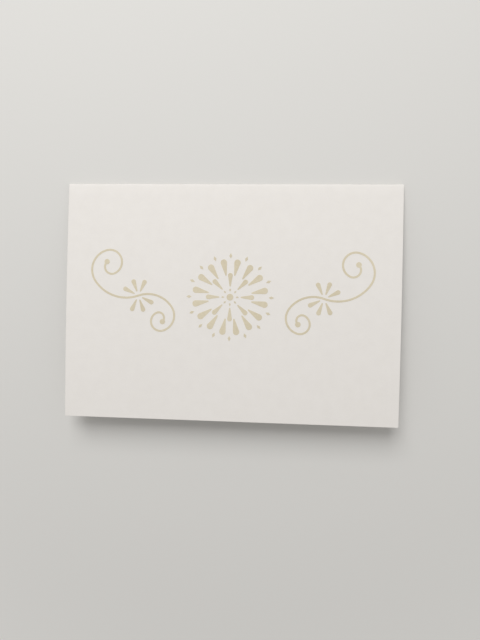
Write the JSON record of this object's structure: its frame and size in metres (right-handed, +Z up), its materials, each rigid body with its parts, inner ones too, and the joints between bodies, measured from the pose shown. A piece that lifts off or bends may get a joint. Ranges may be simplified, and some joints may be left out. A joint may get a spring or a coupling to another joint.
{
  "type": "greeting card",
  "caption": "Folded greeting card of heavy white card stock, lying on its back leaf with the front leaf sprung open, and a rosette between scrolls printed on the front.",
  "frame": {"origin": "middle of the card's footprint, on the surface that the back leaf lies on", "axes": "+X along the fold, +Y from the free edges towards the fold, +Z up through the back leaf and then the front leaf"},
  "size_m": [0.148, 0.105, 0.0122],
  "materials": {
    "card_stock": "uncoated, smooth and matt, warm white",
    "sand_ink": "matt printed ink, pale sand"
  },
  "bodies": {
    "root": {"card": "card_stock", "petal_print": "sand_ink", "scroll_print": "sand_ink"}
  },
  "joints": []
}
